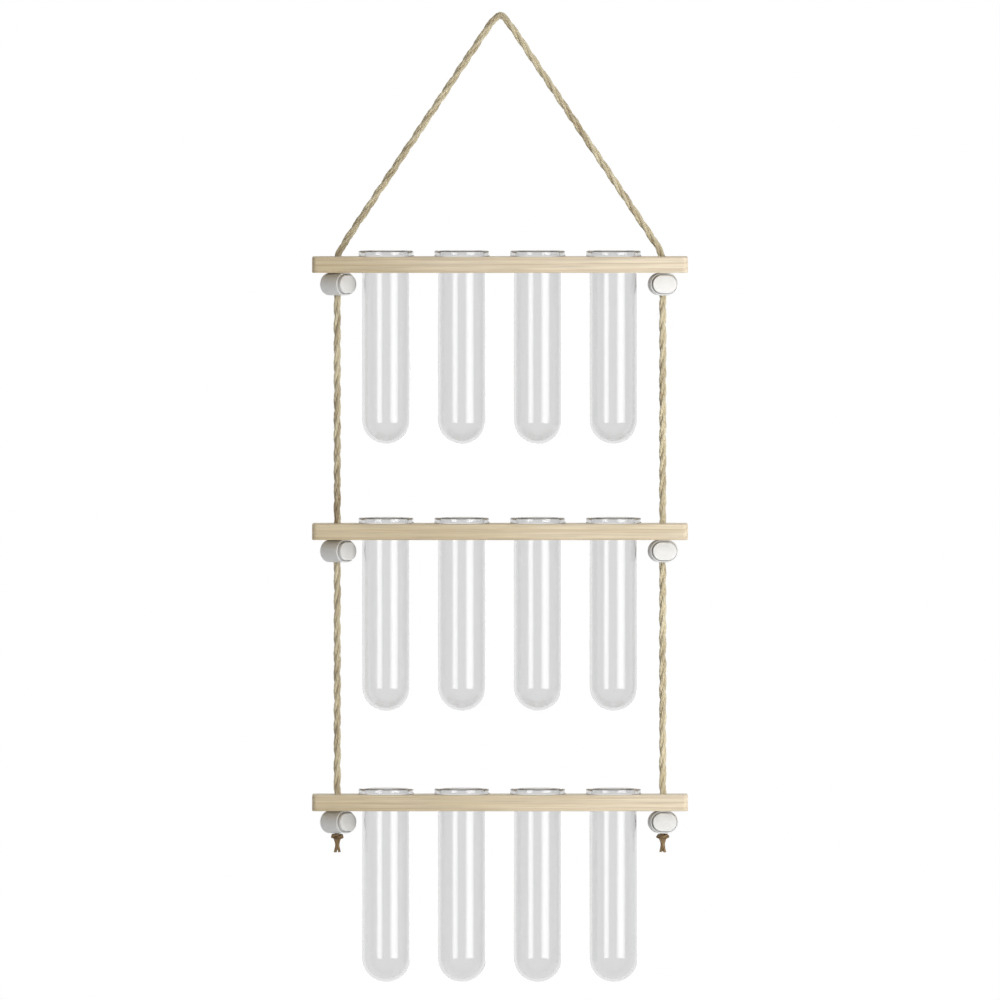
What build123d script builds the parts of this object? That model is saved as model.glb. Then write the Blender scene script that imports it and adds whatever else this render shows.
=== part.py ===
from build123d import *
import math
import os

# Hanging rack of glass test tubes: three bored boards on one rope, each carried by two spring cord locks.
# Millimetres, +Z up. The origin is the axis of the nail that the rope hangs from, midway between the
# rope's two straight runs. X is along the boards, and -Y is the front.

# Test tubes
tube_diameter = 30.0
tube_length = 120.0
tube_wall = 1.5
rim_overhang = 2.2          # how far the beaded rim stands out past the tube's wall
rim_depth = 3.6             # the rim's underside to its top
rim_edge_radius = 1.1       # top edges, outside and inside
rim_foot_radius = 0.5       # lower outside edge
rim_fillet = 0.35           # between the rim's underside and the wall
tubes_per_board = 4
rim_gap = 12.6              # between neighbouring rims

# Boards
board_thickness = 10.0
board_margin = 9.6          # wood in front of and behind a tube's hole
board_end = 15.5            # rope axis to the board's end
board_corner_radius = 3.0
board_edge_radius = 0.8
rope_hole_chamfer = 0.5

# Rope, the nail it hangs from and its stopper knots
rope_diameter = 4.2
nail_diameter = 5.0
top_board_drop = 145.0      # nail axis to the top board's upper face
bend_rise = 1.6             # corner of the rope's route above the top board
upper_gap = 45.5            # top tubes' bottoms to the middle rims
lower_gap = 48.0            # middle tubes' bottoms to the bottom rims
knot_diameter = 8.4         # over the middle of its wound band
knot_shoulder_diameter = 6.8  # at the band's upper and lower edges
knot_band = 3.4
knot_neck = 3.8             # from the band down to the waist
waist_diameter = 2.8
tail_length = 4.3
tail_end_diameter = 4.4
apex_share = 0.98           # leaves a short flat between the two arcs over the nail

# Cord locks: an oval barrel, a sprung button with a slot for the rope, and the spring
lock_stretch = 3.6          # flat between the rounded sides of the barrel and of the button
button_height = 11.3
button_head = 5.3           # solid button in front of its slot
button_back = 1.3           # button wall behind its slot
button_travel = 2.0
button_proud = 0.1          # what still stands out of the barrel when pressed
button_edge_radius = 0.5
barrel_wall = 1.2
barrel_recess = 0.5         # step of the bore at the mouth
barrel_recess_depth = 1.5
barrel_floor = 1.4
barrel_rear_radius = 4.0
barrel_mouth_radius = 0.45
bore_corner_radius = 1.6    # inside the barrel's rear
spring_length = 3.7
spring_diameter = 8.0
spring_wire = 0.4
spring_turns = 3
left_turn = 48.0            # degrees that the left locks face to the right of the front
right_turn = 8.0

# Clearances
hole_clearance = 0.4        # tube in its hole, radial
seat_gap = 0.2              # tube's rim above its board
rope_hole_clearance = 0.6   # rope in a board, radial
lock_rope_clearance = 0.4   # rope in a lock, radial
grip_gap = 0.15             # rope to the ends of the button's slot
plunger_clearance = 0.1     # button in its barrel, radial
lock_gap = 0.2              # lock under its board, and knot under its lock
swing_clearance = 3.3       # tube's wall to a lock that swivels
spring_seat_gap = 0.05

# Sizes that follow
tube_radius = tube_diameter / 2
hole_radius = tube_radius + hole_clearance
rim_radius = tube_radius + rim_overhang
rope_radius = rope_diameter / 2
rope_hole_radius = rope_radius + rope_hole_clearance
lock_bore_radius = rope_radius + lock_rope_clearance
button_radius = button_height / 2
barrel_bore_radius = button_radius + plunger_clearance
barrel_radius = barrel_bore_radius + barrel_wall

slot_back = rope_radius + grip_gap
slot_front = slot_back + button_travel
button_rear = slot_back + button_back
button_face = slot_front + button_head
barrel_rear = button_rear + spring_length + barrel_floor
barrel_front = button_face - button_travel - button_proud
lock_reach = math.hypot(button_face, button_radius + lock_stretch / 2)
spring_pitch = (spring_length - spring_wire - 2 * spring_seat_gap) / spring_turns

tube_pitch = 2 * rim_radius + rim_gap
tube_row = (tubes_per_board - 1) * tube_pitch
rope_x = tube_row / 2 + tube_radius + swing_clearance + lock_reach
board_length = 2 * (rope_x + board_end)
board_depth = 2 * (hole_radius + board_margin)
rim_height = seat_gap + rim_depth

board_tops = {"top": -top_board_drop}
board_tops["middle"] = board_tops["top"] - tube_length - upper_gap
board_tops["bottom"] = board_tops["middle"] - tube_length - lower_gap
lock_drop = board_thickness + lock_gap + barrel_radius
knot_top = board_tops["bottom"] - lock_drop - barrel_radius - lock_gap

tube_places = [(i - (tubes_per_board - 1) / 2) * tube_pitch for i in range(tubes_per_board)]
sides = {"left": (-rope_x, left_turn), "right": (rope_x, right_turn)}


def keep(piece, name):
    piece.label = name
    export_step(piece, f"parts/{name}.step")


def make_board(top):
    """A pine board with rounded ends, bored for the tubes and for the rope."""
    with BuildPart() as board:
        with BuildSketch(Plane.XY.offset(top - board_thickness)):
            RectangleRounded(board_length, board_depth, board_corner_radius)
        extrude(amount=board_thickness)
        faces = board.faces().sort_by(Axis.Z)
        fillet(faces[0].edges() + faces[-1].edges(), board_edge_radius)
        with Locations(*[(x, 0, top) for x in tube_places]):
            Hole(hole_radius, depth=board_thickness)
        with Locations((-rope_x, 0, top), (rope_x, 0, top)):
            Hole(rope_hole_radius, depth=board_thickness)
        rope_rims = board.edges().filter_by(GeomType.CIRCLE)
        rope_rims = rope_rims.filter_by(lambda rim: abs(rim.radius - rope_hole_radius) < 0.001)
        chamfer(rope_rims, rope_hole_chamfer)
    return board.part


def make_tube(x, board_top):
    """A round-bottom glass tube that hangs in its hole by a beaded, fire-polished rim."""
    rim_top = board_top + rim_height
    rim_under = rim_top - rim_depth
    bottom = rim_top - tube_length
    ball_centre = bottom + tube_radius
    inner_radius = tube_radius - tube_wall
    with BuildPart() as tube:
        with BuildSketch(Plane((x, 0, 0), x_dir=(1, 0, 0), z_dir=(0, -1, 0))) as section:
            with BuildLine():
                CenterArc((0, ball_centre), tube_radius, -90, 90)
                outside = [(tube_radius, ball_centre), (tube_radius, rim_under), (rim_radius, rim_under)]
                inside = [(rim_radius, rim_top), (inner_radius, rim_top), (inner_radius, ball_centre)]
                Polyline(*outside, *inside)
                CenterArc((0, ball_centre), inner_radius, 0, -90)
                Line((0, bottom + tube_wall), (0, bottom))
            make_face()
            fillet(section.vertices().group_by(Axis.Y)[-2].sort_by(Axis.X)[0], rim_fillet)
            fillet(section.vertices().sort_by(Axis.X)[-2:].sort_by(Axis.Y)[0], rim_foot_radius)
            fillet(section.vertices().group_by(Axis.Y)[-1], rim_edge_radius)
        revolve(axis=Axis((x, 0, 0), (0, 0, 1)))
    return tube.part


def lock_planes(x, board_top, turn):
    """The lock's plane across its barrel, facing out of the mouth, and its level plane through the axis."""
    centre = (x, 0, board_top - lock_drop)
    angle = math.radians(turn)
    facing = (math.sin(angle), -math.cos(angle), 0)
    return Plane(centre, x_dir=(0, 0, 1), z_dir=facing), Plane(centre, x_dir=facing, z_dir=(0, 0, 1))


def oval(radius):
    """The section of a lock's piece: two half circles with a flat between them, its long side level."""
    return SlotOverall(2 * radius + lock_stretch, 2 * radius, rotation=90)


def make_barrel(across, level):
    """A moulded barrel with a rounded rear, bored for the button and the rope, and wider at its mouth."""
    along = Axis(across.origin, across.z_dir)
    with BuildPart() as bore:
        with BuildSketch(across.offset(barrel_floor - barrel_rear)):
            oval(barrel_bore_radius)
        extrude(amount=barrel_rear - barrel_floor + barrel_front)
        fillet(bore.faces().sort_by(along)[0].edges(), bore_corner_radius)
    with BuildPart() as barrel:
        with BuildSketch(across.offset(-barrel_rear)):
            oval(barrel_radius)
        extrude(amount=barrel_rear + barrel_front)
        fillet(barrel.faces().sort_by(along)[0].edges(), barrel_rear_radius)
        fillet(barrel.faces().sort_by(along)[-1].edges(), barrel_mouth_radius)
        add(bore.part, mode=Mode.SUBTRACT)
        with BuildSketch(across.offset(barrel_front - barrel_recess_depth)):
            oval(barrel_bore_radius + barrel_recess)
        extrude(amount=barrel_recess_depth, mode=Mode.SUBTRACT)
        with BuildSketch(level):
            Circle(lock_bore_radius)
        extrude(amount=barrel_radius, both=True, mode=Mode.SUBTRACT)
    return barrel.part


def make_button(across, level):
    """A plunger with a rounded face and a slot whose rear end grips the rope."""
    along = Axis(across.origin, across.z_dir)
    with BuildPart() as button:
        with BuildSketch(across.offset(-button_rear)):
            oval(button_radius)
        extrude(amount=button_rear + button_face)
        fillet(button.faces().sort_by(along)[-1].edges(), button_edge_radius)
        with BuildSketch(level):
            with Locations(((slot_front - slot_back) / 2, 0)):
                SlotOverall(slot_front + slot_back, 2 * lock_bore_radius)
        extrude(amount=button_radius, both=True, mode=Mode.SUBTRACT)
    return button.part


def coil_point(across, turns):
    """A point of the spring's centreline, and its direction there, after so many turns from the floor."""
    start = button_rear + spring_length - spring_seat_gap - spring_wire / 2
    radius = (spring_diameter - spring_wire) / 2
    angle = 2 * math.pi * turns
    place = (radius * math.cos(angle), radius * math.sin(angle), turns * spring_pitch - start)
    way = (-radius * math.sin(angle), radius * math.cos(angle), spring_pitch / (2 * math.pi))
    origin = across.from_local_coords((0, 0, 0))
    return across.from_local_coords(place), (across.from_local_coords(way) - origin).normalized()


def make_spring(across):
    """An open coil, swept along two tangent arcs for each quarter turn."""
    stops = [coil_point(across, i / 4) for i in range(4 * spring_turns + 1)]
    with BuildPart() as spring:
        with BuildLine() as coil:
            for (start, out), (end, into) in zip(stops, stops[1:]):
                span = end - start
                bend = 2 * (out.dot(into) - 1)
                lean = -2 * span.dot(out + into)
                reach = (lean + math.sqrt(lean**2 - 4 * bend * span.dot(span))) / (-2 * bend)
                first, second = start + out * reach, end - into * reach
                middle = (first + second) * 0.5
                TangentArc(start, middle, tangent=out)
                TangentArc(middle, end, tangent=second - first)
        with BuildSketch(Plane(stops[0][0], z_dir=stops[0][1])):
            Circle(spring_wire / 2)
        sweep(path=coil.wire())
    return spring.part, coil.wire()


def gap_between_turns(coil):
    """The least clear gap of a coil to itself, measured on points at least half a turn apart."""
    per_turn = 24
    count = per_turn * spring_turns
    points = [coil @ (i / count) for i in range(count + 1)]
    pairs = [(a, b) for i, a in enumerate(points) for b in points[i + per_turn // 2 :]]
    return min((a - b).length for a, b in pairs) - spring_wire


def make_knot(x):
    """A stopper knot: a wound band that narrows to a waist, and a short tail that spreads at its end."""
    shoulder_radius = knot_shoulder_diameter / 2
    waist = (waist_diameter / 2, -knot_band - knot_neck)
    tail_end = waist[1] - tail_length
    with BuildPart() as knot:
        with BuildSketch(Plane((x, 0, knot_top), x_dir=(1, 0, 0), z_dir=(0, -1, 0))):
            with BuildLine():
                Line((0, 0), (shoulder_radius, 0))
                widest = (knot_diameter / 2, -knot_band / 2)
                band = ThreePointArc((shoulder_radius, 0), widest, (shoulder_radius, -knot_band))
                TangentArc(waist, band @ 1, tangent=(0, 1))
                tail = TangentArc(waist, (tail_end_diameter / 2, tail_end), tangent=(0, -1))
                Polyline(tail @ 1, (0, tail_end), (0, 0))
            make_face()
        revolve(axis=Axis((x, 0, 0), (0, 0, 1)))
    return knot.part


def rope_route():
    """The rope's corners from the left knot over the nail to the right knot, and the radius at each."""
    over_nail = nail_diameter / 2 + rope_radius
    bend_z = board_tops["top"] + bend_rise
    lean = math.atan2(rope_x, -bend_z) - math.asin(over_nail / math.hypot(rope_x, bend_z))
    apex_x = over_nail * math.tan((math.pi / 2 - lean) / 2)
    points = [
        (-rope_x, 0, knot_top),
        (-rope_x, 0, bend_z),
        (-apex_x, 0, over_nail),
        (apex_x, 0, over_nail),
        (rope_x, 0, bend_z),
        (rope_x, 0, knot_top),
    ]
    at_board, at_nail = bend_rise / math.tan(lean / 2), apex_share * over_nail
    return points, [at_board, at_nail, at_nail, at_board]


def make_rope():
    """One rope, straight where it is pulled tight and bent round the nail and at the top board."""
    points, radii = rope_route()
    with BuildPart() as rope:
        with BuildLine() as route:
            FilletPolyline(*points, radius=radii)
        with BuildSketch(Plane(route.wire() @ 0, z_dir=route.wire() % 0)):
            Circle(rope_radius)
        sweep(path=route.wire())
    length = route.wire().length
    print("rope corners", [tuple(round(v, 2) for v in point) for point in points])
    print("rope radii", [round(radius, 2) for radius in radii], "length", round(length, 1))
    print("rope volume over section times length", rope.part.volume / (math.pi * rope_radius**2 * length))
    return rope.part


os.makedirs("parts", exist_ok=True)

keep(make_rope(), "rope")
for side, (x, turn) in sides.items():
    keep(make_knot(x), f"{side}_knot")

for tier, board_top in board_tops.items():
    keep(make_board(board_top), f"{tier}_board")
    for number, x in enumerate(tube_places, start=1):
        keep(make_tube(x, board_top), f"{tier}_tube_{number}")
    for side, (x, turn) in sides.items():
        across, level = lock_planes(x, board_top, turn)
        keep(make_barrel(across, level), f"{tier}_{side}_lock_barrel")
        keep(make_button(across, level), f"{tier}_{side}_lock_button")
        spring, coil = make_spring(across)
        keep(spring, f"{tier}_{side}_lock_spring")

print("spring gap between turns", round(gap_between_turns(coil), 2))
print("board", round(board_length, 2), round(board_depth, 2), "rope at", round(rope_x, 2))
print("tubes at", [round(x, 2) for x in tube_places], "rims above the board", round(rim_height, 2))
print("board tops", board_tops, "lock drop", round(lock_drop, 2), "knot top", round(knot_top, 2))
print("lock height", round(2 * barrel_radius, 2), "rear", round(barrel_rear, 2))
print("lock mouth", round(barrel_front, 2), "button face", round(button_face, 2))
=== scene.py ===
# %% [markdown]
# # A hanging rack of glass tubes
# The rack is three pine boards strung on one jute rope. Each board holds four glass tubes by their
# beaded rims, and a spring cord lock under each end of a board grips the rope and carries it.
# The solid model gives every place and size, so this script only dresses it: it loads the model as a
# fixed frame, keeps the solids that already look right, and remodels what a plain solid can't show,
# such as the rope's strands.

# %% Load the frame
import math
import random

import bmesh
import bpy
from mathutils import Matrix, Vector, noise


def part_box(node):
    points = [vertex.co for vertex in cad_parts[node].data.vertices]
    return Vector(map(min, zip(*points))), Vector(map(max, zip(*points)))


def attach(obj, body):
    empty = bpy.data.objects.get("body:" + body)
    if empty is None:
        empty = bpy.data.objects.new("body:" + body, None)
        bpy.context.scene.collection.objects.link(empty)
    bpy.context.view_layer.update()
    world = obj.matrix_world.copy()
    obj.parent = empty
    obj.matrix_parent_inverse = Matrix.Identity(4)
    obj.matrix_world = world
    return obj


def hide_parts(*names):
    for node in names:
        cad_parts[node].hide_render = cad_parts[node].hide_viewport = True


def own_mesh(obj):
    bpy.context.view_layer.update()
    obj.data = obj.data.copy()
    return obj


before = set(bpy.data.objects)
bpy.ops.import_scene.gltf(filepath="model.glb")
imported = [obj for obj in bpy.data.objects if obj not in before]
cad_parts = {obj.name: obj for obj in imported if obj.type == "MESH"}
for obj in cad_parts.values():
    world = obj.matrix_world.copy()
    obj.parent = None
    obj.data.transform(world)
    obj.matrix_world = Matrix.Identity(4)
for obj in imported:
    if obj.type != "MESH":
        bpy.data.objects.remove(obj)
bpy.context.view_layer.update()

MM = 0.001
scene = bpy.context.scene
scene.view_settings.view_transform = "Standard"

# %% [markdown]
# ## The camera
# The boards show almost no upper face and no perspective, so the picture was taken from far off with a
# long lens, a little above the middle. A long lens far away gives the same flat view here. An
# orthographic camera would too, but a real lens keeps the slight looking-down at the rims.

# %% Camera
VIEW_WIDTH = 0.62
VIEW_CENTRE = Vector((0, 0, -0.296))
VIEW_RISE = math.radians(0.8)
LENS = 1500.0
SENSOR_WIDTH = 36.0
FARTHEST_SEEN = 100.0

camera = bpy.data.objects.new("camera", bpy.data.cameras.new("camera"))
scene.collection.objects.link(camera)
scene.camera = camera
camera.data.lens = LENS
camera.data.sensor_width = SENSOR_WIDTH
camera.data.clip_end = FARTHEST_SEEN
view_distance = VIEW_WIDTH * LENS / SENSOR_WIDTH
camera.location = VIEW_CENTRE + view_distance * Vector((0, -math.cos(VIEW_RISE), math.sin(VIEW_RISE)))
camera.rotation_euler = (math.pi / 2 - VIEW_RISE, 0, 0)
print("camera at", [round(v, 2) for v in camera.location])

# %% [markdown]
# ## The rope's line
# The rope is one length: up from the left knot, through the locks and boards, over the nail and down
# again. It hangs taut, so its line is straight except at the top board and over the nail. A NURBS spline
# that is drawn towards the route's corners rounds them as a loaded rope does, and every strand below
# follows points read back from that one spline.

# %% Route
ROPE_X = 0.100912
ROPE_DIAMETER = 0.0042
KNOT_TOP = -0.5028
HALF_ROUTE = [
    (-ROPE_X, 0, KNOT_TOP),
    (-ROPE_X, 0, -0.154),
    (-ROPE_X, 0, -0.1436),
    (-0.0928, 0, -0.1312),
    (-0.0163, 0, -0.0162),
    (-0.00246, 0, 0.0046),
]
ROUTE = HALF_ROUTE + [(-x, y, z) for x, y, z in reversed(HALF_ROUTE)]
LINE_ORDER = 3
LINE_FINENESS = 32
ROPE_STEP = 1.5 * MM
ROUNDING = 1e-12


def smooth_line(points, name):
    """Reads fine points from a NURBS spline that has the given control points."""
    data = bpy.data.curves.new(name, "CURVE")
    data.dimensions = "3D"
    spline = data.splines.new("NURBS")
    spline.points.add(len(points) - 1)
    for place, point in zip(points, spline.points):
        point.co = (*place, 1)
    spline.order_u = LINE_ORDER
    spline.use_endpoint_u = True
    spline.resolution_u = LINE_FINENESS
    guide = bpy.data.objects.new(name, data)
    mesh = bpy.data.meshes.new_from_object(guide)
    line = [vertex.co.copy() for vertex in mesh.vertices]
    bpy.data.meshes.remove(mesh)
    bpy.data.objects.remove(guide)
    bpy.data.curves.remove(data)
    return line


def line_length(line):
    return sum((b - a).length for a, b in zip(line, line[1:]))


def even_points(line, step):
    """Spaces points evenly along a line that was read from a spline."""
    count = max(2, round(line_length(line) / step))
    spacing = line_length(line) / count
    spaced, travelled, target = [line[0]], 0.0, spacing
    for a, b in zip(line, line[1:]):
        run = (b - a).length
        while run > 0 and target <= travelled + run + ROUNDING and len(spaced) < count:
            spaced.append(a.lerp(b, (target - travelled) / run))
            target += spacing
        travelled += run
    spaced.append(line[-1])
    return spaced


rope_line = even_points(smooth_line(ROUTE, "rope_route"), ROPE_STEP)
print("rope", round(line_length(rope_line), 4), "m long,", len(rope_line), "points")

# %% [markdown]
# ## Twisted strands
# A laid rope is three strands twisted one way, and each strand is a few yarns twisted the other way. A
# striped texture on a tube would give the colour of that but not the bumpy outline, so each yarn is a
# real tube: a curve with a round bevel, turned into a mesh. The curve makes clean rings along any path,
# which extruding by hand would only repeat. Each point keeps its place on the yarn as if it were pulled
# straight, so that the fibre pattern can follow the twist.

# %% Yarn tools
YARN_SIDES = 6
PATTERN_SHIFT = 37.0 * MM


def add_piece(name, mesh):
    piece = bpy.data.objects.new(name, mesh)
    scene.collection.objects.link(piece)
    return piece


def wander(*place):
    """A smooth random value from -1 to 1 that is the same on every run."""
    return noise.noise(Vector(place))


def yarn_mesh(name, yarns, twist):
    """Bevels each yarn, a list of (point, radius, tint), and joins them in one closed mesh."""
    data = bpy.data.curves.new(name, "CURVE")
    data.dimensions = "3D"
    data.bevel_depth = MM
    data.bevel_resolution = YARN_SIDES // 2 - 2
    for yarn in yarns:
        spline = data.splines.new("POLY")
        spline.points.add(len(yarn) - 1)
        for (place, radius, _), point in zip(yarn, spline.points):
            point.co = (*place, 1)
            point.radius = radius / MM
    guide = bpy.data.objects.new(name, data)
    mesh = bpy.data.meshes.new_from_object(guide)
    bpy.data.objects.remove(guide)
    bpy.data.curves.remove(data)
    mesh.name = name

    lay, tints = [], []
    for number, yarn in enumerate(yarns):
        along = PATTERN_SHIFT * number
        last = yarn[0][0]
        for place, radius, tint in yarn:
            along += (place - last).length
            last = place
            for side in range(YARN_SIDES):
                angle = 2 * math.pi * (side / YARN_SIDES + along / twist)
                lay += [along, radius * math.cos(angle), radius * math.sin(angle)]
                tints.append(tint)
    mesh.attributes.new("lay", "FLOAT_VECTOR", "POINT").data.foreach_set("vector", lay)
    mesh.attributes.new("tint", "FLOAT", "POINT").data.foreach_set("value", tints)

    shape = bmesh.new()
    shape.from_mesh(mesh)
    ends = [edge for edge in shape.edges if edge.is_boundary]
    bmesh.ops.holes_fill(shape, edges=ends, sides=YARN_SIDES)
    bmesh.ops.recalc_face_normals(shape, faces=shape.faces)
    for face in shape.faces:
        face.smooth = True
    shape.to_mesh(mesh)
    shape.free()
    return mesh


# %% [markdown]
# ## The rope
# Three strands of four yarns each make a rope of about 4.2 mm. One turn of the lay takes about 34 mm,
# which gives the diagonal marks their spacing. A little wandering in thickness, place and tint keeps it
# from looking like a machined screw: jute is spun from uneven fibres. Each sway below says how much a
# value wanders, over what length of rope in metres, and in which row of the noise.

# %% Rope strands
STRANDS = 3
YARNS_PER_STRAND = 4
STRAND_OFFSET = 1.10 * MM
YARN_OFFSET = 0.56 * MM
YARN_RADIUS = 0.68 * MM
ROPE_LAY = 34.0 * MM
STRAND_LAY = 16.0 * MM
DEPTH_WAY = Vector((0, 1, 0))
ROPE_TINT = 0.52
TURN_SWAY = (0.35, 0.03, 4.5)
STRAND_SWAY = (0.06, 0.013, 8.1)
YARN_SWAY = (0.12, 0.009, 1.7)
RADIUS_SWAY = (0.14, 0.006, 5.2)
YARN_TINT_SWAY = (0.20, 0.045, 3.1)
STRAND_TINT_SWAY = (0.26, 0.03, 6.6)
STRAND_KEY = 10.0
YARN_KEY = 2.3


def headings(line):
    """The direction of a line at each of its points."""
    ahead = line[1:] + line[-1:]
    behind = line[:1] + line[:-1]
    return [(b - a).normalized() for a, b in zip(behind, ahead)]


def sway(kind, along, key):
    """How far a value wanders at a place along the rope."""
    amount, length, row = kind
    return amount * wander(along / length, key, row)


def rope_yarns(line):
    ways = headings(line)
    yarns = []
    for strand in range(STRANDS):
        for number in range(YARNS_PER_STRAND):
            key = STRAND_KEY * strand + YARN_KEY * number
            yarn, along = [], 0.0
            for place, way, before in zip(line, ways, line[:1] + line):
                along += (place - before).length
                side = way.cross(DEPTH_WAY)
                turn = 2 * math.pi * (along / ROPE_LAY + strand / STRANDS)
                turn += sway(TURN_SWAY, along, strand)
                twist = 2 * math.pi * (number / YARNS_PER_STRAND - along / STRAND_LAY)
                out = STRAND_OFFSET * (1 + sway(STRAND_SWAY, along, strand))
                offset = YARN_OFFSET * (1 + sway(YARN_SWAY, along, key))
                spot = place + DEPTH_WAY * (out * math.cos(turn) + offset * math.cos(twist))
                spot += side * (out * math.sin(turn) + offset * math.sin(twist))
                radius = YARN_RADIUS * (1 + sway(RADIUS_SWAY, along, key))
                tint = ROPE_TINT + sway(YARN_TINT_SWAY, along, key)
                tint += sway(STRAND_TINT_SWAY, along, strand)
                yarn.append((spot, radius, tint))
            yarns.append(yarn)
    return yarns


rope = add_piece("rope_strands", yarn_mesh("rope_strands", rope_yarns(rope_line), STRAND_LAY))
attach(rope, "root")
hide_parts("rope")
print("rope strands:", len(rope.data.polygons), "faces")

# %% [markdown]
# ## Stray fibres
# Short hairs stand off any jute rope. Hair particles would do it, but they don't export, so each hair is
# a thin bevelled curve of three short runs. They are left out where a board or a lock covers the rope or
# slides along it, because there they would be worn off.

# %% Rope fuzz
FUZZ_COUNT = 416
FUZZ_SEED = 3
FUZZ_RADIUS = 0.045 * MM
FUZZ_ROOT = 0.40
FUZZ_REACH = (1.6, 4.6)
FUZZ_RISE = (0.15, 0.55)
FUZZ_SIDEWAYS = (-0.5, 0.5)
FUZZ_POINTS = (0.0, 0.33, 0.67, 1.0)
FUZZ_TAPER = 0.6
FUZZ_TINT = 0.75
BARE_END_POINTS = 4
BOARD_TOPS = {"top": -0.145, "middle": -0.3105, "bottom": -0.4785}
SLIDES = {"top": (0.0, 0.0), "middle": (0.046, 0.044), "bottom": (0.0, 0.046)}
COVER_BELOW = 29.5 * MM
COVER_ABOVE = 5.0 * MM


def is_swept(place):
    """Whether a board or its lock covers the rope here, at rest or on its way down and up."""
    for tier, (down, up) in SLIDES.items():
        top = BOARD_TOPS[tier]
        if top - COVER_BELOW - down < place.z < top + COVER_ABOVE + up:
            return True
    return False


def fuzz_yarns(line, count, seed):
    rng = random.Random(seed)
    ways = headings(line)
    hairs = []
    while len(hairs) < count:
        index = rng.randrange(BARE_END_POINTS, len(line) - BARE_END_POINTS)
        place, way = line[index], ways[index]
        turn = rng.uniform(0, 2 * math.pi)
        lean = rng.choice((-1, 1)) * way
        reach = rng.uniform(*FUZZ_REACH) * MM
        rise = rng.uniform(*FUZZ_RISE)
        sideways = rng.uniform(*FUZZ_SIDEWAYS)
        out = DEPTH_WAY * math.cos(turn) + way.cross(DEPTH_WAY) * math.sin(turn)
        across = way.cross(out)
        if is_swept(place):
            continue
        root = place + out * FUZZ_ROOT * ROPE_DIAMETER
        hair = []
        for share in FUZZ_POINTS:
            spot = root + lean * reach * share + out * reach * rise * share * share
            spot += across * reach * sideways * share * share
            hair.append((spot, FUZZ_RADIUS * (1 - FUZZ_TAPER * share), FUZZ_TINT))
        hairs.append(hair)
    return hairs


hairs = fuzz_yarns(rope_line, FUZZ_COUNT, FUZZ_SEED)
fuzz = add_piece("rope_fuzz", yarn_mesh("rope_fuzz", hairs, STRAND_LAY))
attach(fuzz, "root")
print("stray fibres:", len(fuzz.data.polygons), "faces")

# %% [markdown]
# ## The stopper knots
# Under the lowest lock the rope is wound a little over once round itself, drawn in to a waist, and its
# cut end spreads. The wound turn is a short piece of the same twisted rope on a circle, with its two ends
# tucked in. Below it, a ring of yarns gathers to the waist and opens again into two bunches, which is
# what a cut end of laid rope does. The knots are coloured dark brown as painted shade for the lock's
# shadow, with painted light towards the tips where that shadow ends.

# %% Wound turn
KNOT_BAND = 3.4 * MM
WIND_RADIUS = 2.6 * MM
WIND_STRANDS = 3
WIND_OFFSET = 0.86 * MM
WIND_YARN = 0.72 * MM
WIND_SWEEP = 2.4 * math.pi
WIND_TWISTS = 1.6
WIND_STEPS = 60
WIND_START = 0.44
WIND_FALL = 0.12
WIND_SWELL = 0.08
WIND_SWELLS = 9
# Painted shade: the wound turn's jute is darkened for the shadow under the lock.
WIND_PAINTED_SHADE = 0.09
WIND_SHADE = 0.12
WIND_SHADES = 5
WIND_KEY = 40
SHADE_ROW = 2.2
TUCK = 1.5 * MM
TUCK_SHARE = 0.12


def wound_turn(x, start):
    """The strands of the turn that is wound round the rope, a little higher at its start."""
    strands = []
    for strand in range(WIND_STRANDS):
        yarn = []
        for step in range(WIND_STEPS + 1):
            share = step / WIND_STEPS
            angle = start + WIND_SWEEP * share
            out = Vector((math.cos(angle), math.sin(angle), 0))
            turn = 2 * math.pi * (WIND_TWISTS * share + strand / WIND_STRANDS)
            tuck = TUCK * max(0, abs(share - 0.5) - (0.5 - TUCK_SHARE)) / TUCK_SHARE
            radius = WIND_RADIUS - tuck + WIND_OFFSET * math.cos(turn)
            height = KNOT_TOP - KNOT_BAND * (WIND_START + WIND_FALL * share)
            height += WIND_OFFSET * math.sin(turn)
            spot = Vector((x, 0, height)) + out * radius
            thick = WIND_YARN * (1 + WIND_SWELL * wander(share * WIND_SWELLS, strand, x * WIND_KEY))
            tint = WIND_PAINTED_SHADE + WIND_SHADE * wander(share * WIND_SHADES, strand, SHADE_ROW)
            yarn.append((spot, thick, tint))
        strands.append(yarn)
    return strands


# %% Gathered end
WAIST_DROP = 7.2 * MM
TAIL_DROP = 11.5 * MM
END_TOP = KNOT_BAND * 0.5
END_YARNS = 11
END_YARN = 0.47 * MM
END_STEPS = 24
END_TWIST = 0.9
END_KEY = 30
WAIST_RADIUS = 0.92 * MM
TURN_FLARE = 1.9 * MM
TAIL_FLARE = 0.12 * MM
BUNCH_GAP = 0.75 * MM
BUNCH_POWER = 1.5
RAGGED = 0.5 * MM
RAGGED_KEYS = (1.7, 0.4)
END_SWAY = (0.12, 0.003, 7.7)
# Painted shade for the lock's shadow on the gathered end, with painted light towards the tips.
END_PAINTED_SHADE = 0.15
END_SHADE = 0.16
END_SHADE_RUN = 0.006
TIP_PAINTED_LIGHT = 0.2
TIP_FROM = 0.75


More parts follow.
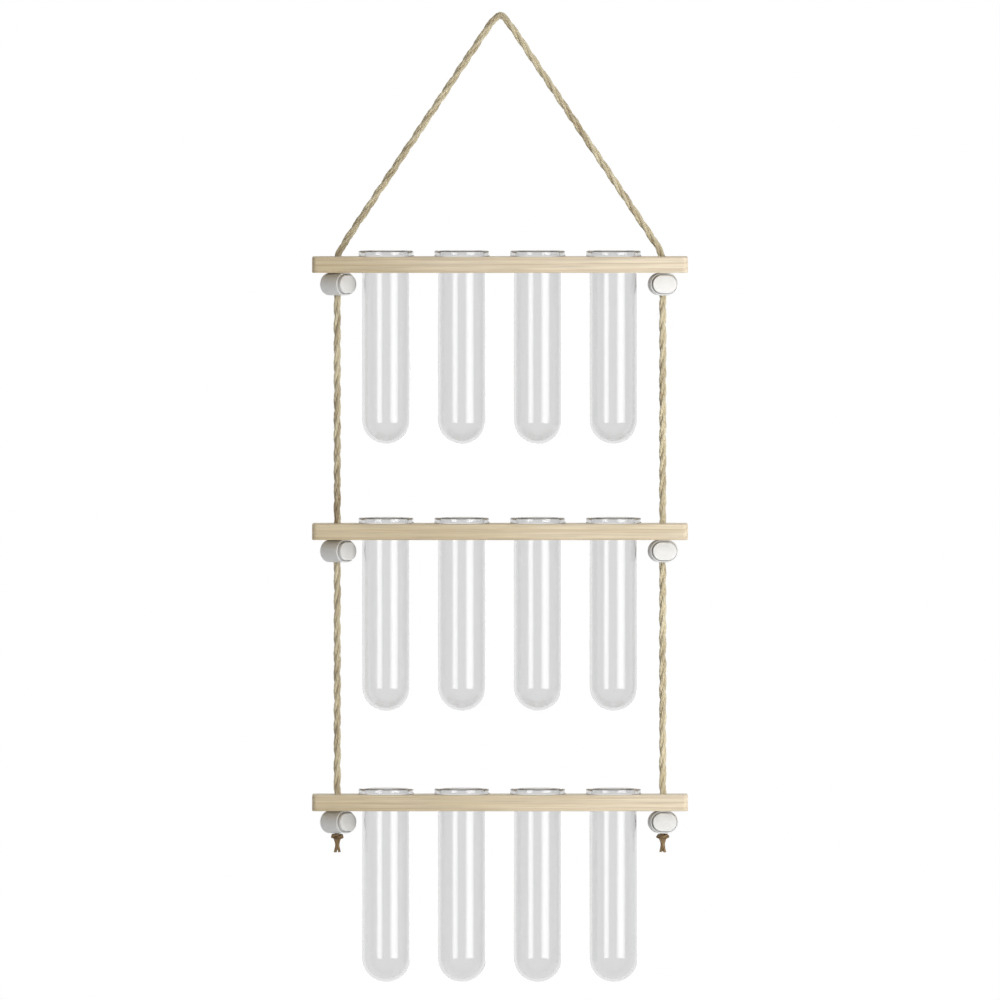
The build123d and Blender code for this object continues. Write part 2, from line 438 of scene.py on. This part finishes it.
def gathered_end(x, start):
    """Yarns that run from inside the turn to the waist and spread into two bunches."""
    number_key, ragged_row = RAGGED_KEYS
    yarns = []
    for number in range(END_YARNS):
        ring = 2 * math.pi * number / (END_YARNS - 1) + start
        inner = number == END_YARNS - 1
        yarn = []
        for step in range(END_STEPS + 1):
            drop = END_TOP + (TAIL_DROP - END_TOP) * step / END_STEPS
            drop += RAGGED * wander(number * number_key, x * END_KEY, ragged_row) * step / END_STEPS
            if drop < WAIST_DROP:
                ease = (WAIST_DROP - drop) / (WAIST_DROP - END_TOP)
                out = WAIST_RADIUS + TURN_FLARE * ease**2
                bunch = 0.0
            else:
                ease = (drop - WAIST_DROP) / (TAIL_DROP - WAIST_DROP)
                out = WAIST_RADIUS + TAIL_FLARE * ease
                bunch = BUNCH_GAP * ease**BUNCH_POWER
            angle = ring + END_TWIST * drop / WAIST_DROP
            lean = math.copysign(bunch, math.cos(angle))
            out = 0.0 if inner else out
            spot = Vector((x + out * math.cos(angle) + lean, out * math.sin(angle), KNOT_TOP - drop))
            radius = END_YARN * (1 + sway(END_SWAY, drop, number))
            tint = END_PAINTED_SHADE + END_SHADE * wander(drop / END_SHADE_RUN, number, x * END_KEY)
            # Painted light: the yarns lighten towards their tips, below the lock's shadow.
            tint += TIP_PAINTED_LIGHT * max(0, drop / TAIL_DROP - TIP_FROM)
            yarn.append((spot, radius, tint))
        yarns.append(yarn)
    return yarns


# %% Knots
KNOT_SIDES = {"left": (-ROPE_X, 0.6), "right": (ROPE_X, 3.4)}
knots = []
for side, (x, start) in KNOT_SIDES.items():
    name = f"{side}_knot_strands"
    knot = add_piece(name, yarn_mesh(name, wound_turn(x, start) + gathered_end(x, start), STRAND_LAY))
    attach(knot, "root")
    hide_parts(f"{side}_knot")
    knots.append(knot)
    print(name, len(knot.data.polygons), "faces")

# %% [markdown]
# ## The glass tubes
# Each tube is drawn glass with a blown round bottom and a rim that was beaded and fire-polished. A
# closed wall with an inner and an outer face is what makes glass bend light like glass, so the section of
# the wall is drawn once, by swinging a point round each bend's centre, and then spun round the tube's
# axis.

# %% Tube section
TUBE_RADIUS = 15.0 * MM
TUBE_WALL = 1.5 * MM
TUBE_LENGTH = 120.0 * MM
RIM_OVERHANG = 2.2 * MM
RIM_DEPTH = 3.6 * MM
RIM_EDGE = 1.1 * MM
RIM_FOOT = 0.5 * MM
RIM_FILLET = 0.35 * MM
RIM_HEIGHT = 3.8 * MM
WALL_END = 1.0 * MM
BALL_STEPS = 16
FOOT_STEPS = 5
EDGE_STEPS = 8
TUBE_STEPS = 72
MERGE_DISTANCE = 0.001 * MM


def swing(shape, vertex, centre, angle, steps):
    """Carries a vertex round a centre in the XZ plane, with edges behind it, and gives the last one."""
    turned = bmesh.ops.spin(
        shape, geom=[vertex], cent=centre, axis=(0, 1, 0), dvec=(0, 0, 0), angle=angle, steps=steps
    )
    return next(item for item in turned["geom_last"] if isinstance(item, bmesh.types.BMVert))


def run_to(shape, vertex, x=None, z=None):
    """Extrudes a vertex straight to a new x or a new height."""
    moved = bmesh.ops.extrude_vert_indiv(shape, verts=[vertex])["verts"][0]
    moved.co.x = moved.co.x if x is None else x
    moved.co.z = moved.co.z if z is None else z
    return moved


def finished_mesh(shape, name):
    """Makes a mesh of a shape that is done."""
    mesh = bpy.data.meshes.new(name)
    shape.to_mesh(mesh)
    shape.free()
    return mesh


def tube_mesh(name, x, rim_top):
    bottom = rim_top - TUBE_LENGTH
    under = rim_top - RIM_DEPTH
    outer = x + TUBE_RADIUS + RIM_OVERHANG
    inner = x + TUBE_RADIUS - TUBE_WALL
    ball = Vector((x, 0, bottom + TUBE_RADIUS))
    corner = Vector((x + TUBE_RADIUS + RIM_FILLET, 0, under - RIM_FILLET))
    foot = Vector((outer - RIM_FOOT, 0, under + RIM_FOOT))
    edge = Vector((outer - RIM_EDGE, 0, rim_top - RIM_EDGE))
    mouth = Vector((inner + RIM_EDGE, 0, rim_top - RIM_EDGE))
    quarter = math.pi / 2

    shape = bmesh.new()
    point = bmesh.ops.create_vert(shape, co=(x, 0, bottom))["vert"][0]
    point = swing(shape, point, ball, -quarter, BALL_STEPS)
    point = run_to(shape, point, z=ball.z + WALL_END)
    point = run_to(shape, point, z=corner.z - WALL_END)
    point = run_to(shape, point, z=corner.z)
    point = swing(shape, point, corner, quarter, FOOT_STEPS)
    point = run_to(shape, point, x=foot.x)
    point = swing(shape, point, foot, -quarter, FOOT_STEPS)
    point = run_to(shape, point, z=edge.z)
    point = swing(shape, point, edge, -quarter, EDGE_STEPS)
    point = run_to(shape, point, x=mouth.x)
    point = swing(shape, point, mouth, -quarter, EDGE_STEPS)
    point = run_to(shape, point, z=mouth.z - WALL_END)
    point = run_to(shape, point, z=ball.z + WALL_END)
    point = run_to(shape, point, z=ball.z)
    swing(shape, point, ball, quarter, BALL_STEPS)
    bmesh.ops.spin(
        shape,
        geom=shape.verts[:] + shape.edges[:],
        cent=(x, 0, 0),
        axis=(0, 0, 1),
        dvec=(0, 0, 0),
        angle=2 * math.pi,
        steps=TUBE_STEPS,
        use_merge=True,
    )
    bmesh.ops.remove_doubles(shape, verts=shape.verts, dist=MERGE_DISTANCE)
    bmesh.ops.recalc_face_normals(shape, faces=shape.faces)
    for face in shape.faces:
        face.smooth = True
    return finished_mesh(shape, name)


# %% Tubes
TUBE_X = (-0.0705, -0.0235, 0.0235, 0.0705)
tubes = []
for tier, board_top in BOARD_TOPS.items():
    for number, x in enumerate(TUBE_X, start=1):
        node = f"{tier}_tube_{number}"
        tube = add_piece(f"{node}_glass", tube_mesh(f"{node}_glass", x, board_top + RIM_HEIGHT))
        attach(tube, node)
        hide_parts(node)
        tubes.append(tube)
low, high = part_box("top_tube_1")
print("tubes:", len(tubes), "of", len(tubes[0].data.polygons), "faces")
print("first tube's solid from z", round(low.z, 4), "to", round(high.z, 4))

# %% [markdown]
# ## The lock springs
# A small open coil sits behind each button. It is a circle of wire spun round the lock's axis with a
# steady step along it, which is how a coiling machine makes it. A real coil flattens against the barrel's
# floor when the button goes in; this one keeps its shape.

# %% Spring
SPRING_SEAT = 7.25 * MM
SPRING_LENGTH = 3.7 * MM
SPRING_GAP = 0.05 * MM
SPRING_RADIUS = 3.8 * MM
SPRING_TURNS = 3
STEPS_PER_TURN = 28
WIRE_RADIUS = 0.2 * MM
WIRE_SIDES = 8


def spring_mesh(name, centre, facing):
    up = Vector((0, 0, 1))
    travel = SPRING_LENGTH - 2 * WIRE_RADIUS - 2 * SPRING_GAP
    steps = SPRING_TURNS * STEPS_PER_TURN
    shape = bmesh.new()
    start = centre + facing * (SPRING_GAP + WIRE_RADIUS - SPRING_SEAT) + up * SPRING_RADIUS
    wire = bmesh.ops.create_circle(shape, cap_ends=True, radius=WIRE_RADIUS, segments=WIRE_SIDES)
    turn = facing.cross(up).to_track_quat("Z", "Y")
    bmesh.ops.rotate(shape, verts=wire["verts"], cent=(0, 0, 0), matrix=turn.to_matrix())
    bmesh.ops.translate(shape, verts=wire["verts"], vec=start)
    bmesh.ops.spin(
        shape,
        geom=shape.verts[:] + shape.edges[:] + shape.faces[:],
        cent=centre,
        axis=facing,
        dvec=facing * travel / steps,
        angle=2 * math.pi * SPRING_TURNS,
        steps=steps,
    )
    bmesh.ops.recalc_face_normals(shape, faces=shape.faces)
    for face in shape.faces:
        face.smooth = len(face.verts) == 4
    return finished_mesh(shape, name)


# %% Springs
LOCK_DROP = 17.15 * MM
LOCK_TURNS = {"left": math.radians(48.0), "right": math.radians(8.0)}
springs = []
for tier, board_top in BOARD_TOPS.items():
    for side, turn in LOCK_TURNS.items():
        lock = f"{tier}_{side}_lock"
        centre = Vector((-ROPE_X if side == "left" else ROPE_X, 0, board_top - LOCK_DROP))
        facing = Vector((math.sin(turn), -math.cos(turn), 0))
        spring = add_piece(f"{lock}_coil", spring_mesh(f"{lock}_coil", centre, facing))
        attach(spring, lock)
        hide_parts(f"{lock}_spring")
        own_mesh(spring)
        springs.append(spring)
print("springs:", len(springs), "of", len(springs[0].data.polygons), "faces")

# %% [markdown]
# ## Tools for finishes
# Every finish is a small graph of nodes round one Principled shader. A few helpers keep the graphs short:
# each adds one kind of node, wires or sets its inputs, and gives back the output that is used next.

# %% Finish tools


def new_finish(name):
    finish = bpy.data.materials.new(name)
    finish.use_nodes = True
    return finish, finish.node_tree.nodes["Principled BSDF"]


def add_node(finish, kind, inputs=None, **settings):
    node = finish.node_tree.nodes.new(kind)
    for key, value in settings.items():
        setattr(node, key, value)
    wire_up(finish, node, inputs or {})
    return node


def wire_up(finish, node, inputs):
    for key, value in inputs.items():
        if isinstance(value, bpy.types.NodeSocket):
            finish.node_tree.links.new(value, node.inputs[key])
        else:
            node.inputs[key].default_value = value


def add_place(finish):
    """The place on the piece, which goes with the piece when it moves."""
    return add_node(finish, "ShaderNodeTexCoord").outputs["Object"]


def add_stretch(finish, place, scale):
    """A place scaled by axis, so that a pattern on it runs long or short."""
    return add_node(finish, "ShaderNodeMapping", {"Vector": place, "Scale": scale}).outputs["Vector"]


def add_noise(finish, place, scale, detail):
    inputs = {"Vector": place, "Scale": scale, "Detail": detail}
    return add_node(finish, "ShaderNodeTexNoise", inputs).outputs["Fac"]


def add_math(finish, operation, *values, **settings):
    inputs = dict(enumerate(values))
    return add_node(finish, "ShaderNodeMath", inputs, operation=operation, **settings).outputs[0]


def add_bump(finish, height, strength, distance):
    inputs = {"Height": height, "Strength": strength, "Distance": distance}
    return add_node(finish, "ShaderNodeBump", inputs).outputs[0]


def add_ramp(finish, factor, stops):
    """A colour ramp from a list of (place, colour)."""
    node = add_node(finish, "ShaderNodeValToRGB", {"Fac": factor})
    ramp = node.color_ramp
    while len(ramp.elements) < len(stops):
        ramp.elements.new(1.0)
    for element, (place, colour) in zip(ramp.elements, stops):
        element.position = place
        element.color = (*colour, 1)
    return node.outputs["Color"]


def grey(level):
    return (level, level, level)


def dress(pieces, finish):
    for piece in pieces:
        piece.data.materials.clear()
        piece.data.materials.append(finish)


# %% [markdown]
# ## Jute
# Jute is matt, pale brown, and its fibres run along each yarn. The colour follows each yarn's tint, which
# on the knots is painted shade, and fine streaks are noise stretched along the straightened yarn that
# each point remembers.

# %% Jute finish
JUTE_STRETCH = (160, 2600, 2600)
# The two darkest stops are reached mainly by the knots, whose dark tint is painted shade.
JUTE_COLOURS = [
    (0.0, (0.095, 0.058, 0.026)),
    (0.16, (0.27, 0.175, 0.085)),
    (0.34, (0.40, 0.33, 0.215)),
    (0.6, (0.62, 0.547, 0.375)),
    (1.0, (0.76, 0.69, 0.52)),
]
jute, jute_shader = new_finish("jute")
lay = add_node(jute, "ShaderNodeAttribute", attribute_name="lay").outputs["Vector"]
tint = add_node(jute, "ShaderNodeAttribute", attribute_name="tint").outputs["Fac"]
streaks = add_noise(jute, add_stretch(jute, lay, JUTE_STRETCH), scale=1.0, detail=3.0)
spread = add_math(jute, "MULTIPLY_ADD", streaks, 0.6, -0.3)
shade = add_math(jute, "ADD", tint, spread, use_clamp=True)
wire_up(
    jute,
    jute_shader,
    {
        "Base Color": add_ramp(jute, shade, JUTE_COLOURS),
        "Roughness": 0.85,
        "Sheen Weight": 0.05,
        "Normal": add_bump(jute, streaks, strength=0.3, distance=0.0001),
    },
)
dress([rope, fuzz, *knots], jute)
print("jute on", 2 + len(knots), "pieces")

# %% [markdown]
# ## Glass
# Thin clear glass looks grey only because it takes a little light, so the shader is nearly clear and the
# body absorbs. The absorption's colour and density are plain constants, so that the exported model keeps
# them. A very weak, long bump stands for the drawn wall's unevenness.

# %% Glass finish
GLASS_STRETCH = (90, 90, 14)
glass, glass_shader = new_finish("clear_glass")
drawn = add_noise(glass, add_stretch(glass, add_place(glass), GLASS_STRETCH), scale=1.0, detail=1.0)
wire_up(
    glass,
    glass_shader,
    {
        "Base Color": (0.86, 0.86, 0.862, 1),
        "Roughness": 0.0,
        "IOR": 1.47,
        "Transmission Weight": 1.0,
        "Normal": add_bump(glass, drawn, strength=0.06, distance=0.001),
    },
)
body = add_node(glass, "ShaderNodeVolumeAbsorption", {"Color": (0.5, 0.5, 0.5, 1), "Density": 48.0})
wire_up(glass, glass.node_tree.nodes["Material Output"], {"Volume": body.outputs[0]})
dress(tubes, glass)
print("glass on", len(tubes), "tubes")

# %% [markdown]
# ## Pine
# A sawn board shows its growth rings where the saw met them: long lines on the faces and arcs on the
# ends. A ring texture round an axis beside the board gives all of these at once, which flat stripes
# can't. Each board has its own axis, so no two are alike, and fine streaks along the grain break the
# rings up. Each board's pale wood is also painted darker and browner towards its left end: painted shade
# for the side away from the light on the right.

# %% Pine finish
PITHS = {"top": (0.1, 0.012, 0.176), "middle": (0.5, -0.016, 0.352), "bottom": (0.9, 0.021, 0.512)}
FIBRE_STRETCH = (28, 1500, 1500)
PATCH_STRETCH = (9, 60, 60)
LATE_WOOD = [(0.0, grey(0)), (0.55, grey(0.08)), (0.9, grey(0.42)), (1.0, grey(0.1))]
LIGHT_WOOD = [(0.2, (0.575, 0.482, 0.318)), (0.8, (0.77, 0.675, 0.52))]
DARK_WOOD = (0.50, 0.345, 0.20, 1)
FIBRE_SHADES = [(0.3, grey(0.80)), (0.62, grey(1.05))]
# Painted shade: the pale wood darkens towards each board's left end, away from the light on the right.
PAINTED_SHADE_PER_METRE = 2.4


def add_mix(finish, share, first, second, **settings):
    """A mix of two colours, at the colour sockets of the node."""
    inputs = {0: share, 6: first, 7: second}
    return add_node(finish, "ShaderNodeMix", inputs, data_type="RGBA", **settings).outputs[2]


def add_rings(finish, place, pith):
    """Growth rings round an axis that runs nearly along the board."""
    inputs = {"Vector": place, "Location": pith, "Rotation": (0, 0.02, 0.012), "Scale": (0.12, 1, 1)}
    from_pith = add_node(finish, "ShaderNodeMapping", inputs).outputs["Vector"]
    rings = add_node(
        finish,
        "ShaderNodeTexWave",
        {
            "Vector": from_pith,
            "Scale": 95.0,
            "Distortion": 3.0,
            "Detail": 2.0,
            "Detail Scale": 0.35,
            "Detail Roughness": 0.5,
        },
        wave_type="RINGS",
        rings_direction="X",
        wave_profile="SAW",
    )
    return rings.outputs["Fac"]


for tier, pith in PITHS.items():
    pine, pine_shader = new_finish(f"{tier}_pine")
    place = add_place(pine)
    fibres = add_noise(pine, add_stretch(pine, place, FIBRE_STRETCH), scale=1.0, detail=4.0)
    clouds = add_noise(pine, add_stretch(pine, place, PATCH_STRETCH), scale=1.0, detail=2.0)
    along = add_node(pine, "ShaderNodeSeparateXYZ", {"Vector": place}).outputs["X"]
    # Random clouds of tone plus painted shade that darkens the wood towards the left end.
    clouds_and_painted_shade = add_math(pine, "MULTIPLY_ADD", along, PAINTED_SHADE_PER_METRE, clouds)
    late_wood = add_ramp(pine, add_rings(pine, place, pith), LATE_WOOD)
    ringed = add_mix(pine, late_wood, add_ramp(pine, clouds_and_painted_shade, LIGHT_WOOD), DARK_WOOD)
    fibre_shade = add_ramp(pine, fibres, FIBRE_SHADES)
    wire_up(
        pine,
        pine_shader,
        {
            "Base Color": add_mix(pine, 1.0, ringed, fibre_shade, blend_type="MULTIPLY"),
            "Roughness": add_math(pine, "MULTIPLY_ADD", fibres, 0.25, 0.48),
            "Normal": add_bump(pine, fibres, strength=0.25, distance=0.0002),
        },
    )
    dress([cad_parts[f"{tier}_board"]], pine)
print("pine boards:", len(PITHS))

# %% [markdown]
# ## White plastic and spring wire
# The locks are moulded in white plastic with a satin skin: a fine bump and a slightly uneven gloss. The
# springs are drawn steel wire, bright with a fine unevenness in gloss and colour.

# %% Plastic finish
PLASTIC_COLOURS = [(0.3, (0.785, 0.785, 0.775)), (0.7, (0.835, 0.835, 0.83))]
plastic, plastic_shader = new_finish("white_plastic")
place = add_place(plastic)
skin = add_noise(plastic, place, scale=2600.0, detail=2.0)
flow = add_noise(plastic, place, scale=160.0, detail=2.0)
wire_up(
    plastic,
    plastic_shader,
    {
        "Base Color": add_ramp(plastic, flow, PLASTIC_COLOURS),
        "Roughness": add_math(plastic, "MULTIPLY_ADD", flow, 0.16, 0.36),
        "IOR": 1.49,
        "Specular IOR Level": 0.12,
        "Normal": add_bump(plastic, skin, strength=0.08, distance=0.0001),
    },
)
lock_pieces = [
    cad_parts[f"{tier}_{side}_lock_{part}"]
    for tier in BOARD_TOPS
    for side in LOCK_TURNS
    for part in ("barrel", "button")
]
dress(lock_pieces, plastic)
print("plastic on", len(lock_pieces), "pieces")

# %% Wire finish
STEEL_COLOURS = [(0.3, (0.48, 0.49, 0.50)), (0.7, (0.60, 0.61, 0.62))]
steel, steel_shader = new_finish("spring_steel")
drawn = add_noise(steel, add_place(steel), scale=1800.0, detail=3.0)
wire_up(
    steel,
    steel_shader,
    {
        "Base Color": add_ramp(steel, drawn, STEEL_COLOURS),
        "Metallic": 1.0,
        "Roughness": add_math(steel, "MULTIPLY_ADD", drawn, 0.25, 0.18),
    },
)
dress(springs, steel)
print("steel on", len(springs), "springs")

# %% [markdown]
# ## Floor, light and background
# The rack hangs before plain white. A pale floor well below it keeps a soft shadow and fades to white
# away from the rack. A soft box to the right of the front lights it, and a weak one behind fills its
# back. The two bright streaks on each tube are the reflections of two glowing cards. Lamps could make
# them too, but every lamp is also sampled as a light, which makes the fine rope grainy. A card that only
# reflections see doesn't, and it can be brighter along its middle, so that the streaks fade at their
# edges. The world is white to the camera, in reflections and through glass, and weaker as a light, so
# that colours come out about as they are written.

# %% Floor
FLOOR_HEIGHT = -0.75
FLOOR_WIDTH = 8.0
SHADOW_REACH = 0.35
WHITE_FROM = 1.5
WHITE = (1, 1, 1, 1)


def flat_sheet(name, width, depth, height=0.0):
    """A flat rectangle round the middle."""
    shape = bmesh.new()
    bmesh.ops.create_grid(shape, x_segments=1, y_segments=1, size=0.5)
    bmesh.ops.scale(shape, verts=shape.verts, vec=(width, depth, 1))
    bmesh.ops.translate(shape, verts=shape.verts, vec=(0, 0, height))
    return add_piece(name, finished_mesh(shape, name))


def or_mirrored(finish, rays, seen):
    """Adds reflections and views through glass to what the camera sees as white."""
    mirrored = add_math(finish, "MAXIMUM", seen, rays["Is Glossy Ray"])
    return add_math(finish, "MAXIMUM", mirrored, rays["Is Transmission Ray"])


floor = flat_sheet("floor", FLOOR_WIDTH, FLOOR_WIDTH, FLOOR_HEIGHT)

pale, pale_shader = new_finish("pale_floor")
flat = add_node(pale, "ShaderNodeVectorMath", {0: add_place(pale), 1: (1, 1, 0)}, operation="MULTIPLY")
far = add_node(pale, "ShaderNodeVectorMath", {0: flat.outputs[0]}, operation="LENGTH")
fade = add_node(
    pale,
    "ShaderNodeMapRange",
    {"Value": far.outputs["Value"], "From Min": SHADOW_REACH, "From Max": WHITE_FROM},
    interpolation_type="SMOOTHSTEP",
)
rays = add_node(pale, "ShaderNodeLightPath").outputs
seen = add_math(pale, "MULTIPLY", fade.outputs[0], rays["Is Camera Ray"])
bright = add_node(pale, "ShaderNodeEmission", {"Color": WHITE, "Strength": 1.0})
wire_up(pale, pale_shader, {"Base Color": (0.86, 0.86, 0.85, 1), "Roughness": 0.9})
blend = add_node(
    pale,
    "ShaderNodeMixShader",
    {0: or_mirrored(pale, rays, seen), 1: pale_shader.outputs[0], 2: bright.outputs[0]},
)
wire_up(pale, pale.node_tree.nodes["Material Output"], {"Surface": blend.outputs[0]})
dress([floor], pale)
print("floor at", FLOOR_HEIGHT)

# %% Lamps
LIGHT_HEIGHT = -0.37


def stand(thing, azimuth, distance):
    """Puts a lamp or a card upright at an angle to the right of the front, turned to the rack."""
    angle = math.radians(azimuth)
    thing.location = (distance * math.sin(angle), -distance * math.cos(angle), LIGHT_HEIGHT)
    thing.rotation_euler = (math.pi / 2, 0, angle)


def soft_box(name, azimuth, distance, width, height, radiance, mirrored=True):
    """A rectangular lamp that lights the rack and isn't seen by the camera."""
    light = bpy.data.lights.new(name, "AREA")
    light.shape = "RECTANGLE"
    light.size = width
    light.size_y = height
    light.energy = radiance * math.pi * width * height
    lamp = bpy.data.objects.new(name, light)
    scene.collection.objects.link(lamp)
    stand(lamp, azimuth, distance)
    lamp.visible_camera = False
    lamp.visible_transmission = False
    lamp.visible_glossy = mirrored


soft_box("key", azimuth=40.0, distance=0.70, width=0.30, height=1.1, radiance=4.3, mirrored=False)
soft_box("back_fill", azimuth=165.0, distance=2.2, width=1.6, height=1.6, radiance=0.8)
print("lamps:", len(bpy.data.lights))

# %% Reflected cards
CARD_HEIGHT = 1.8
CARD_CORE = 0.35
CARD_EDGE = 0.4


def glowing_card(name, azimuth, distance, width, radiance):
    """A card that only reflections see, brightest along its middle."""
    card = flat_sheet(name, width, CARD_HEIGHT)
    stand(card, azimuth, distance)

    glow, _ = new_finish(name)
    across = add_node(glow, "ShaderNodeSeparateXYZ", {"Vector": add_place(glow)}).outputs["X"]
    fade = add_node(
        glow,
        "ShaderNodeMapRange",
        {
            "Value": add_math(glow, "ABSOLUTE", across),
            "From Min": CARD_CORE * width / 2,
            "From Max": width / 2,
            "To Min": radiance,
            "To Max": CARD_EDGE * radiance,
        },
    )
    light = add_node(glow, "ShaderNodeEmission", {"Color": WHITE, "Strength": fade.outputs[0]})
    wire_up(glow, glow.node_tree.nodes["Material Output"], {"Surface": light.outputs[0]})
    glow.cycles.emission_sampling = "NONE"
    dress([card], glow)
    card.visible_camera = False
    card.visible_diffuse = False
    card.visible_transmission = False
    card.visible_shadow = False


glowing_card("right_card", azimuth=36.5, distance=2.0, width=1.5, radiance=9.0)
glowing_card("left_card", azimuth=-34.0, distance=2.0, width=1.0, radiance=8.0)
print("two reflected cards")

# %% World
WORLD_LIGHT = 0.50
world = bpy.data.worlds.new("studio")
scene.world = world
world.use_nodes = True
rays = add_node(world, "ShaderNodeLightPath").outputs
shown = or_mirrored(world, rays, rays["Is Camera Ray"])
strength = add_math(world, "MULTIPLY_ADD", shown, 1 - WORLD_LIGHT, WORLD_LIGHT)
wire_up(world, world.node_tree.nodes["Background"], {"Color": WHITE, "Strength": strength})
print("world set, light", WORLD_LIGHT)
